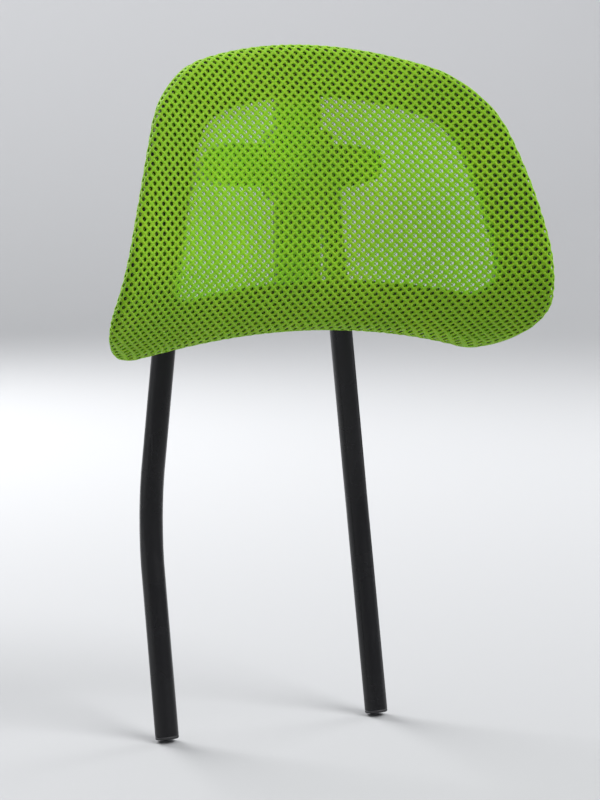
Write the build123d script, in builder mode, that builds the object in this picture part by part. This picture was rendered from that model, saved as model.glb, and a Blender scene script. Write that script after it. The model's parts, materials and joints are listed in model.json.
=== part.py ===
"""Mesh headrest on two bent rods that plug into the tubes of an office chair's back.

Millimetres. +X is the sitter's left, +Y points backwards and +Z up. The origin is midway between the
rods' lower ends. The headrest tilts about a bolt in the crossbar and slides on a rail in a slide block.
"""
import os
from math import cos, hypot, radians, sin, sqrt

from build123d import *

# ---- driving dimensions -------------------------------------------------------------------------
# rods
ROD_DIAMETER = 16.0
ROD_WALL = 2.0
ROD_END_SPACING = 160.0     # between the parallel plug ends
ROD_TOP_SPACING = 110.0     # between the tips in the crossbar
PLUG_LEAN = 12.0            # degrees, the plug ends lean back going up
KNEE_LENGTH = 150.0         # from the lower end to the knee, along the plug end
KNEE_RADIUS = 350.0
TOP_BEND_RADIUS = 30.0
END_PLUG_FLANGE = 2.0
END_PLUG_DEPTH = 14.0
END_PLUG_CHAMFER = 0.8
INSERT_LENGTH = 15.0

# pivot
PIVOT_HEIGHT = 385.0        # above the rods' lower ends
PIVOT_AHEAD = 47.0          # in front of the rods' upright stretch
BOLT_RADIUS = 4.0
RUNNING_CLEARANCE = 0.05    # radial, turning fits and threads
WASHER_CLEARANCE = 0.2      # radial, washers and disc springs on the bolt
NUT_FLATS = 13.0
NUT_HEIGHT = 7.0
HEAD_HEIGHT = 5.3
BOLT_TAIL = 2.0             # thread showing past the nut
BOLT_CHAMFER = 0.8
WASHER_RADIUS = 8.0
WASHER_THICKNESS = 1.6
DISC_SPRING_THICKNESS = 1.2
DISC_SPRING_COUNT = 2
DISC_SPRING_STEP = 0.5      # each disc spring's outer radius is this much smaller than the last
FRICTION_WASHER_THICKNESS = 1.5

# crossbar
CROSSBAR_FLAT = 84.0        # flat top and bottom, side to side, before the ends taper
CROSSBAR_HEIGHT = 28.0
CROSSBAR_FRONT = 18.0       # front face ahead of the pivot
CROSSBAR_REAR = 16.0        # rear face of the rod blocks, behind the pivot
SOCKET_WALL = 3.0           # crossbar material round a rod
BRIDGE_GAP = 2.0            # between the knuckle and the bridge
BRIDGE_THICKNESS = 8.0
BRIDGE_WIDTH = 80.0
BRIDGE_CORNER = 3.0
EAR_THICKNESS = 6.5
POCKET_END_GAP = 3.1        # between the bolt's tail and the pocket's outer wall
POCKET_WALL = 2.5
POCKET_SIDE_WALL = 2.0
COVER_THICKNESS = 2.0
COVER_GAP = 0.15
COVER_CHAMFER = 0.5
SNAP_WIDTH = 6.0
SNAP_THICKNESS = 2.0
SNAP_LENGTH = 3.0
TIP_WALL = 9.0              # crossbar material in front of the rod tips
ROD_SCREW_RADIUS = 2.5
ROD_SCREW_HEAD_RADIUS = 4.25
ROD_SCREW_HEAD_HEIGHT = 5.0
ROD_SCREW_LENGTH = 16.0
ROD_SCREW_SOCKET = 2.0      # half of the hex socket's flats
ROD_SCREW_SOCKET_DEPTH = 2.5

# slide block and what is in it
RAIL_WIDTH = 32.0
RAIL_THICKNESS = 8.0
SLIDE_GAP = 0.3
LINER_THICKNESS = 1.5
LINER_FLANGE = 1.0
BLOCK_HEIGHT = 44.0
BLOCK_REAR_WALL = 3.7
BLOCK_SIDE_WALL = 3.0
BLOCK_FRONT_WALL = 5.5
BLOCK_CORNER = 2.0
BLOCK_SIDE_GAP = 1.1        # between the slide block and the crossbar beside it
KNUCKLE_RADIUS = 10.0
KNUCKLE_GAP = 0.5           # between the ears' round noses and the block's rear face
BUSH_WALL = 1.5
BUSH_FLANGE_THICKNESS = 1.0
BUSH_FLANGE_RADIUS = 8.5
BUSH_GAP = 1.0              # half the gap between the two bushes
PAD_WIDTH = 17.4
PAD_HEIGHT = 27.4
PAD_THICKNESS = 2.1
PAD_GAP = 0.3
PAD_CORNER = 1.5
SPRING_THICKNESS = 0.6
SPRING_WIDTH = 10.0
SPRING_BOW = 2.4            # how far the bowed spring stands clear of the pad, with its own thickness
SPRING_INSET = 1.5          # from the pad's ends

# headrest: heights are measured from its centre
PIVOT_RISE = 20.0           # the pivot above the headrest's centre
FACE_TO_PIVOT = 70.0        # the rim's foremost line ahead of the pivot
CROWN_RISE = 97.0           # top of the outline at the middle
SHOULDER_X = 114.2
SHOULDER_RISE = 71.8
SHOULDER_RADIUS = 71.0
CHIN_X = 161.4
CHIN_DROP = 116.6
CHIN_RADIUS = 31.0
ARCH_DROP = 88.0            # bottom of the outline at the middle
SIDE_BULGE = 6.7
HOLLOW_RADIUS = 336.0       # side to side hollow of the face
FOREMOST_DROP = 28.9        # the foremost line below the centre
UPPER_RADIUS = 295.0        # front to back curve above the foremost line
LOWER_RADIUS = 79.6         # and below it, where the rim rolls back
ROLL_ANGLE = 60.0           # degrees, where the roll becomes straight
RIM_WIDTH = 34.0
RIM_THICKNESS = 12.0        # over the fabric, front to back
OPENING_CORNER_RADIUS = 15.0
FABRIC_THICKNESS = 2.0
FABRIC_CLEARANCE = 0.05
HEM_WIDTH = 9.0             # fabric turned over the rim's back
GROOVE_WIDTH = 3.0
GROOVE_DEPTH = 4.5
STRIP_CLEARANCE = 0.15
RAIL_TOP_INSET = 10.8       # rail's top below the outline's top at the middle
RAIL_BOTTOM_INSET = 10.6    # rail's lower end above the outline's bottom at the middle
RAIL_CORNER = 1.5
BOSS_WIDTH = 28.0
TOP_BOSS_HEIGHT = 18.2
BOTTOM_BOSS_HEIGHT = 17.4
RAIL_SCREW_RADIUS = 2.0
RAIL_SCREW_SPACING = 16.0
RAIL_SCREW_LENGTH = 16.0
RAIL_SCREW_TIP_GAP = 1.0
RAIL_SCREW_HEAD_RADIUS = 4.0
RAIL_SCREW_HEAD_HEIGHT = 2.4
RAIL_SCREW_SOCKET = 1.25    # half of the hex socket's flats
RAIL_SCREW_SOCKET_DEPTH = 1.5
RAIL_SCREW_INSET = 10.0     # from the rail's ends
BUMPER_THICKNESS = 4.0
BUMPER_WIDTH = 24.0
BUMPER_DEPTH = 8.0
BUMPER_CORNER = 1.5
EDGE_ROUND = 2.0

# ---- worked-out places --------------------------------------------------------------------------
rod_radius = ROD_DIAMETER / 2
bore_radius = rod_radius - ROD_WALL
end_x = ROD_END_SPACING / 2
tip_x = ROD_TOP_SPACING / 2
knee_y = KNEE_LENGTH * sin(radians(PLUG_LEAN))
knee_z = KNEE_LENGTH * cos(radians(PLUG_LEAN))
pivot_y = knee_y - PIVOT_AHEAD
pivot_z = PIVOT_HEIGHT
centre_z = pivot_z - PIVOT_RISE

crossbar_front = pivot_y - CROSSBAR_FRONT
crossbar_rear = pivot_y + CROSSBAR_REAR
bridge_front = pivot_y + KNUCKLE_RADIUS + BRIDGE_GAP
bridge_rear = bridge_front + BRIDGE_THICKNESS
tip_y = crossbar_front + TIP_WALL

window_x = RAIL_WIDTH / 2 + SLIDE_GAP + LINER_THICKNESS
block_x = window_x + BLOCK_SIDE_WALL
ear_outer = block_x + BLOCK_SIDE_GAP
ear_inner = ear_outer - EAR_THICKNESS
bush_end = ear_inner - FRICTION_WASHER_THICKNESS - SLIDE_GAP
knuckle_end = bush_end - BUSH_FLANGE_THICKNESS
spring_stack = DISC_SPRING_THICKNESS * DISC_SPRING_COUNT
nut_x = ear_outer + WASHER_THICKNESS + spring_stack
pocket_inner_x = ear_outer + POCKET_SIDE_WALL
pocket_outer_x = nut_x + NUT_HEIGHT + BOLT_TAIL + POCKET_END_GAP
pocket_height = CROSSBAR_HEIGHT - 2 * POCKET_WALL
bush_outer = BOLT_RADIUS + RUNNING_CLEARANCE + BUSH_WALL

block_rear = pivot_y - KNUCKLE_RADIUS - KNUCKLE_GAP
window_rear = block_rear - BLOCK_REAR_WALL
rail_rear = window_rear - LINER_THICKNESS - SLIDE_GAP
rail_front = rail_rear - RAIL_THICKNESS
window_front = rail_front - SLIDE_GAP - LINER_THICKNESS
block_front = window_front - BLOCK_FRONT_WALL
pad_rear = rail_front - SLIDE_GAP
pad_front = pad_rear - PAD_THICKNESS
recess_front = pad_front - SPRING_BOW - SPRING_THICKNESS

face_y = pivot_y - FACE_TO_PIVOT
rail_top_rise = CROWN_RISE - RAIL_TOP_INSET
rail_bottom_rise = RAIL_BOTTOM_INSET - ARCH_DROP
top_boss_low = rail_top_rise - TOP_BOSS_HEIGHT
bottom_boss_high = rail_bottom_rise + BOTTOM_BOSS_HEIGHT
rail_top = centre_z + rail_top_rise
rail_bottom = centre_z + rail_bottom_rise
upper_screw_z = rail_top - RAIL_SCREW_INSET
lower_screw_z = rail_bottom + RAIL_SCREW_INSET

outline_plane = Plane(origin=(0, face_y, centre_z), x_dir=(1, 0, 0), z_dir=(0, -1, 0))
THROUGH = 60.0                # a cut or extrusion that passes right through its piece
REACH = 80.0                  # half the depth that the outline is extruded through
OVERRUN = 8.0                 # how far a blank passes the outline before it is cut
SWEEP_ANGLE = 64.0            # degrees that the blank is turned through about the hollow's axis

os.makedirs("parts", exist_ok=True)


def save(piece, name):
    """Label a finished piece and write its STEP file."""
    piece.part.label = name
    export_step(piece.part, f"parts/{name}.step")


def ring_x(x_from, x_to, outer, inner):
    """A round washer or sleeve about the pivot axis, between two X positions."""
    with BuildPart() as ring:
        with BuildSketch(Plane.YZ.offset(x_from)):
            with Locations((pivot_y, pivot_z)):
                Circle(outer)
                Circle(inner, mode=Mode.SUBTRACT)
        extrude(amount=x_to - x_from)
    return ring.part


# ---- rods ---------------------------------------------------------------------------------------
def rod_path(side):
    """Centre line of one rod, from its lower end to its tip in the crossbar."""
    tube_start = END_PLUG_FLANGE / KNEE_LENGTH
    knee = (side * end_x, knee_y, knee_z)
    return FilletPolyline(
        (side * end_x, knee_y * tube_start, knee_z * tube_start),
        knee,
        (side * tip_x, knee_y, pivot_z),
        (side * tip_x, tip_y, pivot_z),
        radius=[KNEE_RADIUS, TOP_BEND_RADIUS],
    )


def make_rod(side, name):
    with BuildPart() as rod:
        with BuildLine() as line:
            rod_path(side)
        with BuildSketch(Plane(line.line @ 0, z_dir=line.line % 0)):
            Circle(rod_radius)
            Circle(bore_radius, mode=Mode.SUBTRACT)
        sweep()
    save(rod, name)


def make_end_plug(side, name):
    plug_plane = Plane(
        origin=(side * end_x, 0, 0), x_dir=(1, 0, 0), z_dir=(0, knee_y, knee_z)
    )
    with BuildPart() as plug:
        with BuildSketch(plug_plane):
            Circle(rod_radius)
        extrude(amount=END_PLUG_FLANGE)
        with BuildSketch(plug_plane.offset(END_PLUG_FLANGE)):
            Circle(bore_radius)
        extrude(amount=END_PLUG_DEPTH)
        plug_axis = Axis(plug_plane.origin, plug_plane.z_dir)
        chamfer(plug.faces().sort_by(plug_axis)[0].edges(), END_PLUG_CHAMFER)
    save(plug, name)


make_rod(-1, "left_rod")
make_rod(1, "right_rod")
make_end_plug(-1, "left_rod_end_plug")
make_end_plug(1, "right_rod_end_plug")

tip_plane = Plane(origin=(0, tip_y, pivot_z), x_dir=(1, 0, 0), z_dir=(0, 1, 0))
with BuildPart() as rod_inserts:
    with BuildSketch(tip_plane):
        with GridLocations(ROD_TOP_SPACING, 0, 2, 1):
            Circle(bore_radius)
            Circle(ROD_SCREW_RADIUS + RUNNING_CLEARANCE, mode=Mode.SUBTRACT)
    extrude(amount=INSERT_LENGTH)
save(rod_inserts, "rod_inserts")

# ---- crossbar -----------------------------------------------------------------------------------
crossbar_depth = crossbar_rear - crossbar_front
front_plane = Plane(origin=(0, crossbar_front, pivot_z), x_dir=(1, 0, 0), z_dir=(0, 1, 0))
# a bar that tapers to round ends about the rod sockets
with BuildPart() as bar:
    with BuildSketch(front_plane):
        Rectangle(CROSSBAR_FLAT, CROSSBAR_HEIGHT)
        with GridLocations(ROD_TOP_SPACING, 0, 2, 1):
            Circle(rod_radius + SOCKET_WALL)
        make_hull()
    extrude(amount=crossbar_depth)
    fillet(bar.faces().filter_by(Axis.Y).edges(), EDGE_ROUND)

with BuildPart() as crossbar:
    # the bridge behind the slide block
    with BuildSketch(Plane.XY.offset(pivot_z - CROSSBAR_HEIGHT / 2)):
        with Locations((0, (bridge_front + bridge_rear) / 2)):
            RectangleRounded(BRIDGE_WIDTH, BRIDGE_THICKNESS, BRIDGE_CORNER)
    extrude(amount=CROSSBAR_HEIGHT)
    fillet(crossbar.faces().filter_by(Axis.Z).edges(), EDGE_ROUND)
    add(bar)
    # space for the slide block and its knuckle
    with BuildSketch(Plane.XY.offset(pivot_z - CROSSBAR_HEIGHT / 2)):
        with Locations((0, (crossbar_front + bridge_front) / 2)):
            Rectangle(2 * ear_outer, bridge_front - crossbar_front)
    extrude(amount=CROSSBAR_HEIGHT, mode=Mode.SUBTRACT)
    # ears that carry the pivot bolt
    for ear_start in (-ear_outer, ear_inner):
        with BuildSketch(Plane.YZ.offset(ear_start)):
            with Locations((pivot_y, pivot_z)):
                Circle(KNUCKLE_RADIUS - KNUCKLE_GAP)
            with Locations(((pivot_y + bridge_front) / 2, pivot_z)):
                Rectangle(bridge_front - pivot_y, 2 * (KNUCKLE_RADIUS - KNUCKLE_GAP))
        extrude(amount=EAR_THICKNESS)
    # pockets for the bolt's head and nut
    ear_nose = pivot_y - KNUCKLE_RADIUS
    for side in (-1, 1):
        with BuildSketch(front_plane):
            with Locations((side * (pocket_inner_x + pocket_outer_x) / 2, 0)):
                Rectangle(pocket_outer_x - pocket_inner_x, pocket_height)
        extrude(amount=bridge_front - crossbar_front, mode=Mode.SUBTRACT)
        with BuildSketch(front_plane.offset(ear_nose - crossbar_front)):
            with Locations((side * (ear_outer + pocket_outer_x) / 2, 0)):
                Rectangle(pocket_outer_x - ear_outer, pocket_height)
        extrude(amount=bridge_front - ear_nose, mode=Mode.SUBTRACT)
    with BuildSketch(Plane.YZ.offset(-ear_outer)):
        with Locations((pivot_y, pivot_z)):
            Circle(BOLT_RADIUS + RUNNING_CLEARANCE)
    extrude(amount=2 * ear_outer, mode=Mode.SUBTRACT)
    # rod sockets, and counterbored screw holes in front of them
    with BuildSketch(tip_plane):
        with GridLocations(ROD_TOP_SPACING, 0, 2, 1):
            Circle(rod_radius)
    extrude(amount=THROUGH, mode=Mode.SUBTRACT)
    with BuildSketch(front_plane):
        with GridLocations(ROD_TOP_SPACING, 0, 2, 1):
            Circle(ROD_SCREW_HEAD_RADIUS + SLIDE_GAP)
    extrude(amount=ROD_SCREW_HEAD_HEIGHT, mode=Mode.SUBTRACT)
    with BuildSketch(front_plane):
        with GridLocations(ROD_TOP_SPACING, 0, 2, 1):
            Circle(ROD_SCREW_RADIUS + SLIDE_GAP)
    extrude(amount=TIP_WALL, mode=Mode.SUBTRACT)
save(crossbar, "crossbar")

with BuildPart() as rod_screws:
    with BuildSketch(front_plane):
        with GridLocations(ROD_TOP_SPACING, 0, 2, 1):
            Circle(ROD_SCREW_HEAD_RADIUS)
    extrude(amount=ROD_SCREW_HEAD_HEIGHT)
    with BuildSketch(front_plane.offset(ROD_SCREW_HEAD_HEIGHT)):
        with GridLocations(ROD_TOP_SPACING, 0, 2, 1):
            Circle(ROD_SCREW_RADIUS)
    extrude(amount=ROD_SCREW_LENGTH)
    with BuildSketch(front_plane):
        with GridLocations(ROD_TOP_SPACING, 0, 2, 1):
            RegularPolygon(ROD_SCREW_SOCKET, 6, major_radius=False)
    extrude(amount=ROD_SCREW_SOCKET_DEPTH, mode=Mode.SUBTRACT)
save(rod_screws, "rod_screws")


def make_pocket_cover(side, name):
    """A snap cover that fills the front of one bolt pocket."""
    with BuildPart() as cover:
        with BuildSketch(front_plane):
            with Locations((side * (pocket_inner_x + pocket_outer_x) / 2, 0)):
                Rectangle(
                    pocket_outer_x - pocket_inner_x - 2 * COVER_GAP, pocket_height - 2 * COVER_GAP
                )
        extrude(amount=COVER_THICKNESS)
        with BuildSketch(front_plane.offset(COVER_THICKNESS)):
            with Locations((side * (pocket_inner_x + pocket_outer_x) / 2, 0)):
                with GridLocations(0, pocket_height - 2 * COVER_GAP - SNAP_THICKNESS, 1, 2):
                    Rectangle(SNAP_WIDTH, SNAP_THICKNESS)
        extrude(amount=SNAP_LENGTH)
        chamfer(cover.faces().sort_by(Axis.Y)[0].edges(), COVER_CHAMFER)
    save(cover, name)


make_pocket_cover(-1, "left_pocket_cover")
make_pocket_cover(1, "right_pocket_cover")

# ---- pivot hardware -----------------------------------------------------------------------------
with BuildPart() as pivot_bolt:
    with BuildSketch(Plane.YZ.offset(-ear_outer - HEAD_HEIGHT)):
        with Locations((pivot_y, pivot_z)):
            RegularPolygon(NUT_FLATS / 2, 6, major_radius=False)
    extrude(amount=HEAD_HEIGHT)
    with BuildSketch(Plane.YZ.offset(-ear_outer)):
        with Locations((pivot_y, pivot_z)):
            Circle(BOLT_RADIUS)
    extrude(amount=ear_outer + nut_x + NUT_HEIGHT + BOLT_TAIL)
    chamfer(pivot_bolt.faces().sort_by(Axis.X)[-1].edges(), BOLT_CHAMFER)
save(pivot_bolt, "pivot_bolt")

with BuildPart() as pivot_nut:
    with BuildSketch(Plane.YZ.offset(nut_x)):
        with Locations((pivot_y, pivot_z)):
            RegularPolygon(NUT_FLATS / 2, 6, major_radius=False)
            Circle(BOLT_RADIUS + RUNNING_CLEARANCE, mode=Mode.SUBTRACT)
    extrude(amount=NUT_HEIGHT)
save(pivot_nut, "pivot_nut")

washer_bore = BOLT_RADIUS + WASHER_CLEARANCE
with BuildPart() as pivot_washer:
    add(ring_x(ear_outer, ear_outer + WASHER_THICKNESS, WASHER_RADIUS, washer_bore))
save(pivot_washer, "pivot_washer")

with BuildPart() as disc_springs:
    for turn in range(DISC_SPRING_COUNT):
        spring_x = ear_outer + WASHER_THICKNESS + turn * DISC_SPRING_THICKNESS
        spring_radius = WASHER_RADIUS - DISC_SPRING_STEP * turn
        add(ring_x(spring_x, spring_x + DISC_SPRING_THICKNESS, spring_radius, washer_bore))
save(disc_springs, "disc_springs")

with BuildPart() as friction_washers:
    for washer_x in (-ear_inner, ear_inner - FRICTION_WASHER_THICKNESS):
        add(
            ring_x(
                washer_x,
                washer_x + FRICTION_WASHER_THICKNESS,
                BUSH_FLANGE_RADIUS,
                BOLT_RADIUS + 2 * RUNNING_CLEARANCE,
            )
        )
save(friction_washers, "friction_washers")

# ---- slide block --------------------------------------------------------------------------------
block_low = Plane.XY.offset(pivot_z - BLOCK_HEIGHT / 2)
with BuildPart() as slide_block:
    with BuildSketch(block_low):
        with Locations((0, (block_front + block_rear) / 2)):
            RectangleRounded(2 * block_x, block_rear - block_front, BLOCK_CORNER)
    extrude(amount=BLOCK_HEIGHT)
    with BuildSketch(Plane.YZ):
        with Locations((pivot_y, pivot_z)):
            Circle(KNUCKLE_RADIUS)
        with Locations(((pivot_y + window_rear) / 2, pivot_z)):
            Rectangle(pivot_y - window_rear, 2 * KNUCKLE_RADIUS)
    extrude(amount=knuckle_end, both=True)
    with BuildSketch(block_low):
        with Locations((0, (window_front + window_rear) / 2)):
            Rectangle(2 * window_x, window_rear - window_front)
    extrude(amount=BLOCK_HEIGHT, mode=Mode.SUBTRACT)
    with BuildSketch(Plane.YZ):
        with Locations((pivot_y, pivot_z)):
            Circle(bush_outer)
    extrude(amount=2 * knuckle_end, both=True, mode=Mode.SUBTRACT)
    with BuildSketch(Plane(origin=(0, recess_front, pivot_z), x_dir=(1, 0, 0), z_dir=(0, 1, 0))):
        Rectangle(PAD_WIDTH + 2 * PAD_GAP, PAD_HEIGHT + 2 * PAD_GAP)
    extrude(amount=window_front - recess_front, mode=Mode.SUBTRACT)
save(slide_block, "slide_block")

with BuildPart() as pivot_bushes:
    for side in (-1, 1):
        low, high = sorted((side * BUSH_GAP, side * knuckle_end))
        add(ring_x(low, high, bush_outer, BOLT_RADIUS + RUNNING_CLEARANCE))
        low, high = sorted((side * knuckle_end, side * bush_end))
        add(ring_x(low, high, BUSH_FLANGE_RADIUS, BOLT_RADIUS + RUNNING_CLEARANCE))
save(pivot_bushes, "pivot_bushes")


def make_liner(side, name):
    """Half of the slide liner, pushed into the block from its top (1) or bottom (-1)."""
    middle = (window_front + window_rear) / 2
    inner_depth = RAIL_THICKNESS + 2 * SLIDE_GAP
    inner_width = RAIL_WIDTH + 2 * SLIDE_GAP
    start = pivot_z + side * (BLOCK_HEIGHT / 2 + LINER_FLANGE)
    mouth = Plane(origin=(0, middle, start), x_dir=(1, 0, 0), z_dir=(0, 0, -side))
    with BuildPart() as liner:
        with BuildSketch(mouth):
            Rectangle(2 * (window_x + LINER_FLANGE), inner_depth + 2 * (LINER_THICKNESS + LINER_FLANGE))
        extrude(amount=LINER_FLANGE)
        with BuildSketch(mouth.offset(LINER_FLANGE)):
            Rectangle(2 * window_x, inner_depth + 2 * LINER_THICKNESS)
        extrude(amount=BLOCK_HEIGHT / 2 - SLIDE_GAP / 2)
        with BuildSketch(mouth):
            Rectangle(inner_width, inner_depth)
        extrude(amount=BLOCK_HEIGHT, mode=Mode.SUBTRACT)
        with BuildSketch(Plane(origin=(0, window_front, pivot_z), x_dir=(1, 0, 0), z_dir=(0, 1, 0))):
            Rectangle(PAD_WIDTH + 2 * PAD_GAP, PAD_HEIGHT + 2 * PAD_GAP)
        extrude(amount=LINER_THICKNESS, mode=Mode.SUBTRACT)
    save(liner, name)


make_liner(1, "upper_liner")
make_liner(-1, "lower_liner")

with BuildPart() as brake_pad:
    with BuildSketch(Plane(origin=(0, pad_rear, pivot_z), x_dir=(1, 0, 0), z_dir=(0, -1, 0))):
        RectangleRounded(PAD_WIDTH, PAD_HEIGHT, PAD_CORNER)
    extrude(amount=PAD_THICKNESS)
save(brake_pad, "brake_pad")

spring_reach = PAD_HEIGHT / 2 - SPRING_INSET
with BuildPart() as brake_spring:
    with BuildSketch(Plane.YZ):
        with BuildLine():
            rear_bow = ThreePointArc(
                (pad_front, pivot_z - spring_reach),
                (recess_front + SPRING_THICKNESS, pivot_z),
                (pad_front, pivot_z + spring_reach),
            )
            front_bow = ThreePointArc(
                (pad_front - SPRING_THICKNESS, pivot_z + spring_reach),
                (recess_front, pivot_z),
                (pad_front - SPRING_THICKNESS, pivot_z - spring_reach),
            )
            Line(rear_bow @ 1, front_bow @ 0)
            Line(front_bow @ 1, rear_bow @ 0)
        make_face()
    extrude(amount=SPRING_WIDTH / 2, both=True)
save(brake_spring, "brake_spring")


# ---- headrest rim, fabric and rail --------------------------------------------------------------
def face_depth(height):
    """Y of the rim's front over its fabric, on the middle plane, at a height above the centre."""
    rise = height + FOREMOST_DROP
    radius = UPPER_RADIUS if rise > 0 else LOWER_RADIUS
    return face_y + radius - sqrt(radius**2 - rise**2)


def slab(front, rear):
    """The doubly curved sheet between two depths behind the rim's front face."""
    half = radians(SWEEP_ANGLE / 2)
    hollow_axis = Axis((0, face_y - HOLLOW_RADIUS, centre_z), (0, 0, 1))
    profile_plane = Plane(
        origin=hollow_axis.position, x_dir=(sin(half), cos(half), 0), z_dir=(cos(half), -sin(half), 0)
    )
    top = CROWN_RISE + OVERRUN
    roll = radians(ROLL_ANGLE)
    roll_mid = roll / 2

    def upper(height, depth):
        return (face_depth(height) - face_y + HOLLOW_RADIUS + depth, height)

    def lower(angle, depth):
        back = LOWER_RADIUS * (1 - cos(angle))
        return (HOLLOW_RADIUS + back + depth, -FOREMOST_DROP - LOWER_RADIUS * sin(angle))

    def tail_end(depth):
        y, z = lower(roll, depth)
        return (y + THROUGH * sin(roll), z - THROUGH * cos(roll))

    middle = (top - FOREMOST_DROP) / 2
    with BuildPart() as sheet:
        with BuildSketch(profile_plane):
            with BuildLine():
                Polyline(upper(top, front), upper(top, rear))
                ThreePointArc(upper(top, rear), upper(middle, rear), lower(0, rear))
                ThreePointArc(lower(0, rear), lower(roll_mid, rear), lower(roll, rear))
                Polyline(lower(roll, rear), tail_end(rear), tail_end(front), lower(roll, front))
                ThreePointArc(lower(roll, front), lower(roll_mid, front), lower(0, front))
                ThreePointArc(lower(0, front), upper(middle, front), upper(top, front))
            make_face()
        revolve(axis=hollow_axis, revolution_arc=SWEEP_ANGLE)
    return sheet.part


def circle_through(start, middle, end):
    """Centre and radius of the circle through three points."""
    (ax, ay), (bx, by), (cx, cy) = ((point.X, point.Y) for point in (start, middle, end))
    span = 2 * (ax * (by - cy) + bx * (cy - ay) + cx * (ay - by))
    a2, b2, c2 = ax**2 + ay**2, bx**2 + by**2, cx**2 + cy**2
    x = (a2 * (by - cy) + b2 * (cy - ay) + c2 * (ay - by)) / span
    y = (a2 * (cx - bx) + b2 * (ax - cx) + c2 * (bx - ax)) / span
    return Vector(x, y), hypot(ax - x, ay - y)


def crossing(first, first_radius, second, second_radius, near):
    """The point nearest to near where two circles cross."""
    between = second - first
    along = (between.length**2 + first_radius**2 - second_radius**2) / (2 * between.length)
    across = sqrt(first_radius**2 - along**2)
    along_dir = between.normalized()
    across_dir = Vector(-along_dir.Y, along_dir.X)
    foot = first + along_dir * along
    either = (foot + across_dir * across, foot - across_dir * across)
    return min(either, key=lambda point: (point - near).length)


def outline(inset, least_corner=0.0):
    """The headrest's outline, seen from the front, drawn in by inset all round."""
    shoulder = Vector(SHOULDER_X, SHOULDER_RISE)
    chin = Vector(CHIN_X, -CHIN_DROP)
    run = (chin - shoulder).normalized()
    bulge = (shoulder + chin) / 2 + Vector(-run.Y, run.X) * SIDE_BULGE
    left_shoulder = Vector(-shoulder.X, shoulder.Y)
    left_chin = Vector(-chin.X, chin.Y)
    crown, crown_radius = circle_through(left_shoulder, Vector(0, CROWN_RISE), shoulder)
    side, side_radius = circle_through(shoulder, bulge, chin)
    arch, arch_radius = circle_through(left_chin, Vector(0, -ARCH_DROP), chin)
    crown_radius -= inset
    side_radius -= inset
    arch_radius += inset
    shoulder = crossing(crown, crown_radius, side, side_radius, shoulder)
    chin = crossing(arch, arch_radius, side, side_radius, chin)
    middle = side + ((shoulder + chin) / 2 - side).normalized() * side_radius
    with BuildSketch() as face:
        with BuildLine():
            ThreePointArc((-shoulder.X, shoulder.Y), (0, crown.Y + crown_radius), shoulder)
            ThreePointArc(shoulder, middle, chin)
            ThreePointArc(chin, (0, arch.Y + arch_radius), (-chin.X, chin.Y))
            ThreePointArc((-chin.X, chin.Y), (-middle.X, middle.Y), (-shoulder.X, shoulder.Y))
        make_face()
        fillet(face.vertices().group_by(Axis.Y)[-1], SHOULDER_RADIUS - inset)
        fillet(face.vertices().group_by(Axis.Y)[0], max(CHIN_RADIUS - inset, least_corner))
    return face.sketch


def shell(front, rear, outer, inner=None):
    """A sheet between two depths, cut to an outline and open inside an inner one."""
    sheet = slab(front, rear)
    with BuildPart() as cut:
        add(sheet)
        with BuildSketch(outline_plane):
            add(outer)
            if inner:
                add(inner, mode=Mode.SUBTRACT)
        extrude(amount=REACH, both=True, mode=Mode.INTERSECT)
    return cut.part


rim_front = FABRIC_THICKNESS + FABRIC_CLEARANCE
rim_rear = RIM_THICKNESS - rim_front
groove_floor = rim_rear - GROOVE_DEPTH
rim_ring = shell(rim_front, rim_rear, outline(rim_front), outline(RIM_WIDTH, OPENING_CORNER_RADIUS))
groove_ring = shell(groove_floor, RIM_THICKNESS, outline(HEM_WIDTH), outline(HEM_WIDTH + GROOVE_WIDTH))
strip_ring = shell(
    groove_floor + STRIP_CLEARANCE,
    rim_rear,
    outline(HEM_WIDTH + STRIP_CLEARANCE),
    outline(HEM_WIDTH + GROOVE_WIDTH - STRIP_CLEARANCE),
)
fabric_envelope = shell(0, RIM_THICKNESS, outline(0))
rim_space = shell(FABRIC_THICKNESS, RIM_THICKNESS - FABRIC_THICKNESS, outline(FABRIC_THICKNESS))
hem_opening = shell(RIM_THICKNESS - 2 * FABRIC_THICKNESS, RIM_THICKNESS + OVERRUN, outline(HEM_WIDTH))

with BuildPart() as headrest_frame:
    add(rim_ring)
    # bosses that reach back to the guide rail
    for low, high in ((top_boss_low, rail_top_rise), (rail_bottom_rise, bottom_boss_high)):
        with BuildSketch(Plane.YZ):
            with BuildLine():
                Polyline(
                    (face_depth(low) + RIM_THICKNESS / 2, centre_z + low),
                    (rail_front, centre_z + low),
                    (rail_front, centre_z + high),
                    (face_depth(high) + RIM_THICKNESS / 2, centre_z + high),
                    close=True,
                )
            make_face()
        extrude(amount=BOSS_WIDTH / 2, both=True)
    # groove for the edge strip
    add(groove_ring, mode=Mode.SUBTRACT)
    for screw_z in (upper_screw_z, lower_screw_z):
        with BuildSketch(Plane(origin=(0, rail_front, screw_z), x_dir=(1, 0, 0), z_dir=(0, -1, 0))):
            with GridLocations(RAIL_SCREW_SPACING, 0, 2, 1):
                Circle(RAIL_SCREW_RADIUS + RUNNING_CLEARANCE)
        extrude(amount=RAIL_SCREW_LENGTH - RAIL_THICKNESS + RAIL_SCREW_TIP_GAP, mode=Mode.SUBTRACT)
save(headrest_frame, "headrest_frame")

with BuildPart() as edge_strip:
    add(strip_ring)
save(edge_strip, "edge_strip")

with BuildPart() as mesh_cover:
    add(fabric_envelope)
    # the hollow that the rim fills, open at the back inside the hem
    add(rim_space, mode=Mode.SUBTRACT)
    add(hem_opening, mode=Mode.SUBTRACT)
save(mesh_cover, "mesh_cover")

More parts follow.
